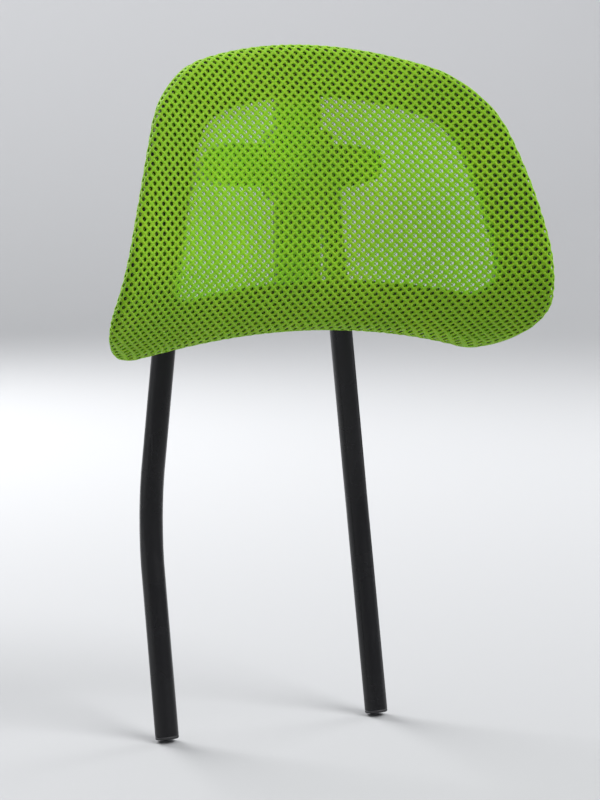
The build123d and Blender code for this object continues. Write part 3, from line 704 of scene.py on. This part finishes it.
class HEADREST_OT_stage(bpy.types.Operator):
    """Set up the floor, backdrop, lights and camera"""

    bl_idname = "headrest.stage"
    bl_label = "Studio"

    def execute(self, context):
        scene = context.scene
        stage = scene.headrest_stage
        self.backdrop(stage)
        self.lights(stage)
        self.camera(scene, stage)
        scene.view_settings.view_transform = "Standard"
        world = bpy.data.worlds.new("studio")
        world.use_nodes = True
        sky = world.node_tree.nodes["Background"].inputs
        sky["Color"].default_value = (*stage.sky_colour, 1)
        sky["Strength"].default_value = stage.sky
        scene.world = world
        return {"FINISHED"}

    def backdrop(self, stage):
        """A round floor that curves up into a backdrop on all sides."""
        mesh = bmesh.new()
        profile = [Vector((0, 0, 0)), Vector((stage.floor_radius, 0, 0))]
        for step in range(1, COVE_STEPS + 1):
            angle = pi / 2 * step / COVE_STEPS
            out = stage.floor_radius + stage.cove_radius * sin(angle)
            profile.append(Vector((out, 0, stage.cove_radius * (1 - cos(angle)))))
        profile.append(profile[-1] + Vector((0, 0, stage.wall_height)))
        verts = [mesh.verts.new(point) for point in profile]
        edges = [mesh.edges.new(pair) for pair in zip(verts, verts[1:])]
        bmesh.ops.spin(
            mesh,
            geom=verts + edges,
            cent=(0, 0, 0),
            axis=(0, 0, 1),
            angle=TURN,
            steps=FLOOR_STEPS,
            use_merge=True,
        )
        bmesh.ops.remove_doubles(mesh, verts=mesh.verts, dist=FLOOR_WELD)
        bmesh.ops.recalc_face_normals(mesh, faces=mesh.faces)
        bmesh.ops.translate(mesh, verts=mesh.verts, vec=(0, 0, cad_box[0].z - FLOOR_GAP))
        data = bpy.data.meshes.new("backdrop")
        mesh.to_mesh(data)
        mesh.free()
        data.shade_smooth()
        paint, tree, shader = new_material("backdrop_paint")
        place = tree.add("ShaderNodeTexCoord").outputs["Object"]
        height = tree.add("ShaderNodeSeparateXYZ", {"Vector": place}).outputs["Z"]
        upright = tree.spread(height, 0.0, stage.cove_radius * 0.5, 0.0, 1.0)
        shades = tree.blend(upright, (*stage.floor_colour, 1), (*stage.wall_colour, 1))
        tree.link(shades, shader.inputs["Base Color"])
        shader.inputs["Roughness"].default_value = 0.9
        shader.inputs["Specular IOR Level"].default_value = 0.2
        data.materials.append(paint)
        backdrop = bpy.data.objects.new("backdrop", data)
        bpy.context.scene.collection.objects.link(backdrop)

    def lights(self, stage):
        """A broad key from above on the +X side, a weak light there and one from behind."""
        sun = bpy.data.lights.new("key", "SUN")
        sun.energy = stage.key_power
        sun.angle = stage.key_softness
        self.place(sun, LIGHT_TARGET + KEY_OFFSET)
        for name, (spot, size, power) in AREA_LIGHTS.items():
            light = bpy.data.lights.new(name, "AREA")
            light.shape = "DISK"
            light.size = size
            light.energy = power
            self.place(light, spot)

    def place(self, light, spot):
        """Stand a light at a spot, turned to its target."""
        lamp = bpy.data.objects.new(light.name, light)
        lamp.location = spot
        lamp.rotation_euler = (LIGHT_TARGET - spot).to_track_quat("-Z", "Y").to_euler()
        bpy.context.scene.collection.objects.link(lamp)

    def camera(self, scene, stage):
        """The camera stands level with the headrest's middle and looks at the whole object."""
        low, high = cad_box
        middle = (low + high) / 2
        headrest_z = Face(scene.headrest_shape).centre_z
        back = Vector((sin(stage.azimuth), -cos(stage.azimuth), 0))
        data = bpy.data.cameras.new("camera")
        data.sensor_width = SENSOR_WIDTH
        camera = bpy.data.objects.new("camera", data)
        camera.location = Vector((middle.x, middle.y, headrest_z)) + back * stage.distance
        look = middle - camera.location
        data.lens = data.sensor_width * look.length / stage.frame_height
        camera.rotation_euler = look.to_track_quat("-Z", "Y").to_euler()
        scene.collection.objects.link(camera)
        scene.camera = camera


# ---- materials ----------------------------------------------------------------------------------
class Tree:
    """Adds and links nodes in a material or a node group."""

    def __init__(self, tree):
        self.tree = tree

    def add(self, kind, inputs=None, **settings):
        """A node with its settings; each input is a value or another node's output."""
        node = self.tree.nodes.new(kind)
        for name, value in settings.items():
            setattr(node, name, value)
        for name, value in (inputs or {}).items():
            if isinstance(value, bpy.types.NodeSocket):
                self.link(value, node.inputs[name])
            else:
                node.inputs[name].default_value = value
        return node

    def link(self, output, target):
        self.tree.links.new(output, target)

    def noise(self, place, scale, detail):
        """Soft noise at a place, between 0 and 1."""
        inputs = {"Vector": place, "Scale": scale, "Detail": detail}
        return self.add("ShaderNodeTexNoise", inputs).outputs[0]

    def math(self, operation, first, second=0.0):
        return self.add("ShaderNodeMath", {0: first, 1: second}, operation=operation).outputs[0]

    def blend(self, factor, first, second):
        """Colour between two colours: inputs 6 and 7 of the mix, and output 2, are its colours."""
        inputs = {0: factor, 6: first, 7: second}
        return self.add("ShaderNodeMix", inputs, data_type="RGBA").outputs[2]

    def spread(self, value, low, high, to_low, to_high):
        """A value from one range, clamped and carried over to another."""
        inputs = {
            "Value": value,
            "From Min": low,
            "From Max": high,
            "To Min": to_low,
            "To Max": to_high,
        }
        return self.add("ShaderNodeMapRange", inputs).outputs[0]


def effect(name, inputs, outputs):
    """A new node group with float inputs, given as name: default, and named outputs."""
    group = bpy.data.node_groups.new(name, "ShaderNodeTree")
    for title, default in inputs.items():
        socket = group.interface.new_socket(title, in_out="INPUT", socket_type="NodeSocketFloat")
        socket.default_value = default
    for title in outputs:
        group.interface.new_socket(title, in_out="OUTPUT", socket_type="NodeSocketFloat")
    tree = Tree(group)
    return group, tree, tree.add("NodeGroupInput").outputs, tree.add("NodeGroupOutput").inputs


def stitch_effect():
    """Rows of small V-shaped stitches that follow the flat cloth, with uneven yarn, and a Shade
    output of painted shade that is dark between the stitches.
    """
    group, tree, given, out = effect(
        "knit_stitches",
        {"Stitch Width": 0.0011, "Stitch Height": 0.0008, "Leg Slant": 1.4, "Unevenness": 0.3},
        ("Height", "Shade"),
    )
    cloth = tree.add("ShaderNodeUVMap", uv_map="flat_cloth").outputs["UV"]
    place = tree.add("ShaderNodeSeparateXYZ", {"Vector": cloth}).outputs
    across = tree.math("DIVIDE", place["X"], given["Stitch Width"])
    up = tree.math("DIVIDE", place["Y"], given["Stitch Height"])
    leg = tree.math("PINGPONG", across, 0.5)
    row = tree.math("ADD", up, tree.math("MULTIPLY", leg, given["Leg Slant"]))
    wave = tree.math("SINE", tree.math("MULTIPLY", row, TURN))
    fold = tree.math("SINE", tree.math("MULTIPLY", leg, TURN))
    crest = tree.math("ADD", tree.math("MULTIPLY", fold, 0.5), 0.5)
    height = tree.math("MULTIPLY", tree.math("ADD", wave, 1.0), crest)
    noise = tree.noise(cloth, 900.0, 3.0)
    uneven = tree.math("MULTIPLY", tree.math("SUBTRACT", noise, 0.5), given["Unevenness"])
    tree.link(tree.math("ADD", tree.math("MULTIPLY", height, 0.5), uneven), out["Height"])
    # Shade: painted shade, darkest in the hollows between the stitches
    tree.link(tree.spread(height, 0.1, 1.4, 0.0, 1.0), out["Shade"])
    return group


def grain_effect():
    """Fine moulded or sprayed grain with slow changes of gloss, on object coordinates."""
    group, tree, given, out = effect(
        "surface_grain", {"Grain Size": 0.0006, "Patch Size": 0.03}, ("Height", "Patches", "Scuffs")
    )
    place = tree.add("ShaderNodeTexCoord").outputs["Object"]
    fine = tree.math("DIVIDE", 1.0, given["Grain Size"])
    cells = tree.add("ShaderNodeTexVoronoi", {"Vector": place, "Scale": fine}, feature="SMOOTH_F1")
    noise = tree.noise(place, fine, 2.0)
    pits = tree.math("MULTIPLY", cells.outputs["Distance"], 0.6)
    tree.link(tree.math("ADD", pits, noise), out["Height"])
    slow = tree.math("DIVIDE", 1.0, given["Patch Size"])
    patches = tree.noise(place, slow, 4.0)
    tree.link(tree.spread(patches, 0.35, 0.65, 0.0, 1.0), out["Patches"])
    drawn_out = tree.add("ShaderNodeMapping", {"Vector": place, "Scale": (180.0, 180.0, 26.0)})
    scuffs = tree.add(
        "ShaderNodeTexNoise",
        {"Vector": drawn_out.outputs[0], "Scale": 1.0, "Detail": 6.0, "Roughness": 0.7},
    )
    tree.link(tree.spread(scuffs.outputs[0], 0.62, 0.74, 0.0, 1.0), out["Scuffs"])
    return group


def new_material(name):
    """A material with nodes, its tree and its shader."""
    material = bpy.data.materials.new(name)
    material.use_nodes = True
    return material, Tree(material.node_tree), material.node_tree.nodes["Principled BSDF"]


def knit_material(name, finish, effects):
    """Matt yarn with painted shade between the stitches, and a little light passing through."""
    material, tree, shader = new_material(name)
    stitches = tree.add("ShaderNodeGroup", node_tree=effects["stitches"]).outputs
    place = tree.add("ShaderNodeTexCoord").outputs["Object"]
    slow = tree.noise(place, 22.0, 3.0)
    fading = tree.spread(slow, 0.3, 0.7, 0.0, 0.25)
    # Painted shade between the stitches, with slow random changes of tone on top
    painted_shade_and_tone = tree.math("ADD", tree.math("MULTIPLY", stitches["Shade"], 0.75), fading)
    shaded_yarn_colour = tree.blend(painted_shade_and_tone, (*finish.yarn_painted_shade, 1), (*finish.yarn, 1))
    tree.link(shaded_yarn_colour, shader.inputs["Base Color"])
    raised = {"Height": stitches["Height"], "Strength": 0.8, "Distance": 0.0003}
    tree.link(tree.add("ShaderNodeBump", raised).outputs[0], shader.inputs["Normal"])
    for socket, value in {
        "Roughness": 0.66,
        "Specular IOR Level": 0.2,
        "Subsurface Weight": 0.6,
        "Subsurface Scale": 0.002,
        "Subsurface Radius": (0.6, 1.0, 0.15),
        "Sheen Weight": 0.12,
        "Sheen Roughness": 0.4,
        "Sheen Tint": (0.8, 1.0, 0.5, 1),
    }.items():
        shader.inputs[socket].default_value = value
    return material


def grained_material(
    name,
    base,
    effects,
    grain=0.0006,
    roughness=(0.45, 0.6),
    bump=0.00005,
    metallic=0.0,
    lift=1.6,
    specular=0.5,
):
    """A hard finish: fine grain, slow changes of gloss, and faint scuffs, base times lift."""
    material, tree, shader = new_material(name)
    group = tree.add("ShaderNodeGroup", {"Grain Size": grain}, node_tree=effects["grain"]).outputs
    rough = tree.spread(group["Patches"], 0.0, 1.0, *roughness)
    worn = tuple(min(part * lift + 0.004, 1.0) for part in base)
    tree.link(tree.blend(group["Scuffs"], (*base, 1), (*worn, 1)), shader.inputs["Base Color"])
    rubbed = tree.math("MULTIPLY", group["Scuffs"], 0.08)
    tree.link(tree.math("ADD", rough, rubbed), shader.inputs["Roughness"])
    raised = {"Height": group["Height"], "Strength": 0.6, "Distance": bump}
    tree.link(tree.add("ShaderNodeBump", raised).outputs[0], shader.inputs["Normal"])
    shader.inputs["Metallic"].default_value = metallic
    shader.inputs["Specular IOR Level"].default_value = specular
    return material


def make_materials(finish):
    """One material for each slot of the record."""
    effects = {"stitches": stitch_effect(), "grain": grain_effect()}
    steel = {"metallic": 1.0, "lift": 0.8}
    hard = {
        "black_plastic": dict(
            base=finish.plastic, grain=0.0005, roughness=(0.48, 0.62), bump=0.00006
        ),
        "rod_powder_coat": dict(
            base=finish.coat, grain=0.0009, roughness=(0.22, 0.32), bump=0.00001, specular=0.32
        ),
        "anodised_rail": dict(
            base=(0.03, 0.03, 0.034), grain=0.0003, roughness=(0.34, 0.44), bump=0.00001
        ),
        "strip_plastic": dict(base=(0.03, 0.03, 0.03), grain=0.0007, roughness=(0.5, 0.65)),
        "liner_plastic": dict(
            base=(0.72, 0.71, 0.66), grain=0.0008, roughness=(0.35, 0.45), lift=0.9
        ),
        "black_rubber": dict(base=(0.018, 0.018, 0.018), grain=0.0004, roughness=(0.75, 0.88)),
        "zinc_steel": dict(
            base=(0.56, 0.57, 0.60), grain=0.0004, roughness=(0.28, 0.42), bump=0.00002, **steel
        ),
        "spring_steel": dict(base=(0.36, 0.36, 0.38), grain=0.0003, roughness=(0.3, 0.4), **steel),
        "black_screws": dict(
            base=(0.045, 0.045, 0.05), grain=0.0003, roughness=(0.32, 0.44), metallic=0.7
        ),
    }
    made = {slot: grained_material(slot, effects=effects, **facts) for slot, facts in hard.items()}
    made["green_mesh"] = knit_material("green_mesh", finish, effects)
    return made


class HEADREST_PT_panel(bpy.types.Panel):
    """Lists the pieces of the headrest and the studio"""

    bl_idname = "HEADREST_PT_panel"
    bl_label = "Mesh headrest"
    bl_space_type = "VIEW_3D"
    bl_region_type = "UI"
    bl_category = "Headrest"

    def draw(self, context):
        for operator in OPERATORS:
            self.layout.operator(operator.bl_idname)


SETTINGS = {
    "headrest_shape": HeadrestShape,
    "headrest_knit": KnitSettings,
    "headrest_finish": FinishSettings,
    "headrest_stage": StageSettings,
}
OPERATORS = (HEADREST_OT_rim, HEADREST_OT_cover, HEADREST_OT_hardware, HEADREST_OT_stage)


def register():
    for group in SETTINGS.values():
        bpy.utils.register_class(group)
    for name, group in SETTINGS.items():
        setattr(bpy.types.Scene, name, PointerProperty(type=group))
    for operator in (*OPERATORS, HEADREST_PT_panel):
        bpy.utils.register_class(operator)


def unregister():
    for operator in (HEADREST_PT_panel, *reversed(OPERATORS)):
        bpy.utils.unregister_class(operator)
    for name in SETTINGS:
        delattr(bpy.types.Scene, name)
    for group in reversed(SETTINGS.values()):
        bpy.utils.unregister_class(group)


def main():
    register()
    for operator in OPERATORS:
        group, action = operator.bl_idname.split(".")
        getattr(getattr(bpy.ops, group), action)()


if __name__ == "__main__":
    main()
